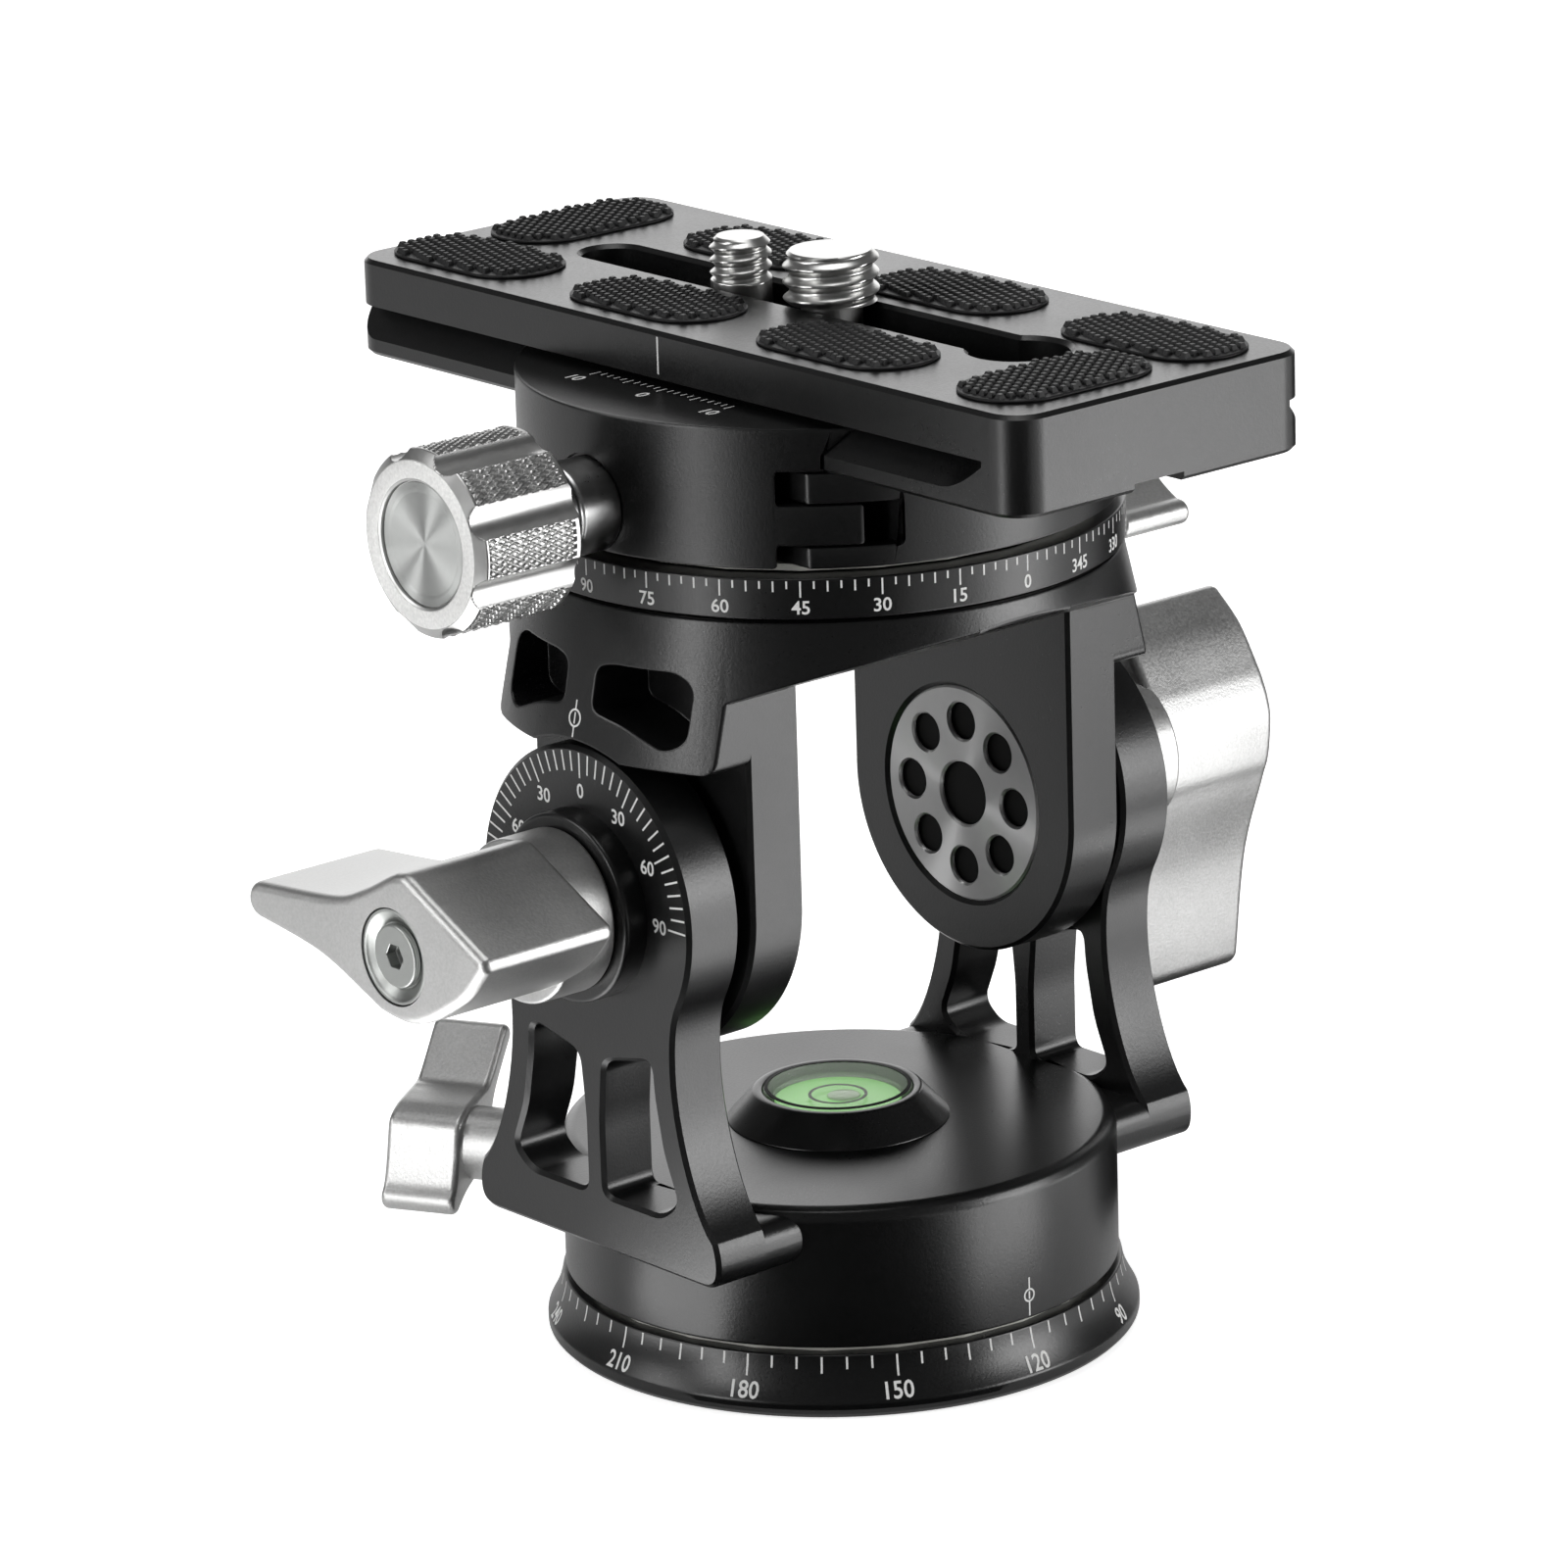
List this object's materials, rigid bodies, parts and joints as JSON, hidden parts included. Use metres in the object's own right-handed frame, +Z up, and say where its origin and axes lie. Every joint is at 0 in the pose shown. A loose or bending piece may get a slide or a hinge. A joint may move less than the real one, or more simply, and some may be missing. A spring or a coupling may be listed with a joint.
{
  "type": "two-way panoramic head",
  "caption": "Black tilt and pan head: round base, two-armed body, tilting yoke, turntable clamp and a long slotted camera plate, with silver wing knobs.",
  "frame": {"origin": "pan axis at the underside of the base ring, which is the bottom centre of the object's box", "axes": "+Z up along the pan axis, +X along the tilt axis towards the knob whose blade hangs down, +Y along the camera plate away from its keyhole end"},
  "size_m": [0.111, 0.0992, 0.1109],
  "materials": {
    "black_anodised": "satin black anodised, fine grain",
    "silver_cast": "bead-blasted casting, clear coated",
    "turned_aluminium": "turned and knurled",
    "steel": "polished stainless",
    "dark_steel": "blackened spring steel",
    "brass": "plain turned brass",
    "bronze": "sintered bearing bronze",
    "polymer": "natural slide-bearing polymer",
    "rubber": "matt black, raised grip pattern",
    "clear_acrylic": "clear polished acrylic",
    "level_green": "bright green backing under the fluid"
  },
  "bodies": {
    "base": {"base_ring": "black_anodised", "thread_insert": "steel", "pan_spindle": "steel", "pan_washer": "polymer", "spindle_nut": "steel", "base_screw_1": "steel", "base_screw_2": "steel", "base_screw_3": "steel"},
    "pan_body": {"pan_frame": "black_anodised", "level_housing": "black_anodised", "level_vial": "clear_acrylic", "level_disc": "level_green", "pan_shoe": "brass", "left_tilt_bushing": "bronze", "right_tilt_bushing": "bronze"},
    "rear_lock": {"rear_lock_knob": "silver_cast", "rear_lock_screw": "steel"},
    "yoke": {"yoke": "black_anodised", "scale_ring": "black_anodised", "turntable_shoe": "brass", "left_pierced_disc": "silver_cast", "right_pierced_disc": "silver_cast", "left_tilt_bolt": "steel", "right_tilt_bolt": "steel", "left_friction_washer": "polymer", "right_friction_washer": "polymer"},
    "left_knob": {"left_wing_knob": "silver_cast", "left_knob_washer": "steel", "left_knob_screw": "steel"},
    "right_knob": {"right_wing_knob": "silver_cast", "right_knob_washer": "steel", "right_knob_screw": "steel"},
    "upper_lock": {"upper_lock_knob": "silver_cast", "upper_lock_screw": "steel"},
    "turntable": {"clamp_body": "black_anodised", "turntable_spindle": "steel", "turntable_nut": "steel", "turntable_washer": "polymer", "guide_pin_1": "steel", "guide_pin_2": "steel", "jaw_spring_1": "dark_steel", "jaw_spring_2": "dark_steel"},
    "jaw": {"clamp_jaw": "black_anodised"},
    "clamp_knob": {"clamp_knob": "turned_aluminium", "clamp_screw": "steel"},
    "plate": {"camera_plate": "black_anodised", "grip_pad_1": "rubber", "grip_pad_2": "rubber", "grip_pad_3": "rubber", "grip_pad_4": "rubber", "grip_pad_5": "rubber", "grip_pad_6": "rubber", "grip_pad_7": "rubber", "grip_pad_8": "rubber"},
    "big_screw_slider": {"big_screw_washer": "dark_steel"},
    "big_screw": {"big_camera_screw": "steel"},
    "small_screw_slider": {"small_screw_washer": "dark_steel"},
    "small_screw": {"small_camera_screw": "steel"}
  },
  "joints": [
    {"name": "pan", "type": "hinge", "parent": "base", "child": "pan_body", "pos_m": [0, 0, 0.014], "axis": [0, 0, 1], "continuous": true},
    {"name": "rear_lock_turn", "type": "hinge", "parent": "pan_body", "child": "rear_lock", "pos_m": [0, 0, 0.0143], "axis": [-0.4772, 0.8788, 0], "range_deg": [0, 90]},
    {"name": "tilt", "type": "hinge", "parent": "pan_body", "child": "yoke", "pos_m": [0, 0, 0.051], "axis": [1, 0, 0], "range_deg": [-80, 90]},
    {"name": "left_knob_turn", "type": "hinge", "parent": "pan_body", "child": "left_knob", "pos_m": [0, 0, 0.051], "axis": [-1, 0, 0], "range_deg": [0, 120]},
    {"name": "right_knob_turn", "type": "hinge", "parent": "pan_body", "child": "right_knob", "pos_m": [0, 0, 0.051], "axis": [1, 0, 0], "range_deg": [0, 120]},
    {"name": "turntable_turn", "type": "hinge", "parent": "yoke", "child": "turntable", "pos_m": [0, 0, 0.086], "axis": [0, 0, 1], "continuous": true},
    {"name": "upper_lock_turn", "type": "hinge", "parent": "yoke", "child": "upper_lock", "pos_m": [0, 0, 0.0776], "axis": [1, 0, 0], "range_deg": [-60, 0]},
    {"name": "jaw_slide", "type": "slide", "parent": "turntable", "child": "jaw", "axis": [-1, 0, 0], "range_m": [0, 0.004]},
    {"name": "clamp_knob_turn", "type": "hinge", "parent": "jaw", "child": "clamp_knob", "pos_m": [0, 0, 0.0906], "axis": [-1, 0, 0], "range_deg": [0, 1440]},
    {"name": "plate_slide", "type": "slide", "parent": "turntable", "child": "plate", "axis": [0, 1, 0], "range_m": [-0.02, 0.02]},
    {"name": "big_screw_slide", "type": "slide", "parent": "plate", "child": "big_screw_slider", "axis": [0, 1, 0], "range_m": [-0.018, 0]},
    {"name": "big_screw_turn", "type": "hinge", "parent": "big_screw_slider", "child": "big_screw", "pos_m": [0, -0.0025, 0.1], "axis": [0, 0, 1], "continuous": true},
    {"name": "small_screw_slide", "type": "slide", "parent": "plate", "child": "small_screw_slider", "axis": [0, 1, 0], "range_m": [0, 0.018]},
    {"name": "small_screw_turn", "type": "hinge", "parent": "small_screw_slider", "child": "small_screw", "pos_m": [0, 0.011, 0.1], "axis": [0, 0, 1], "continuous": true}
  ],
  "couplings": [
    {"joint": "clamp_knob_turn", "follows": "jaw_slide", "rad_per_m": 6283.2}
  ]
}
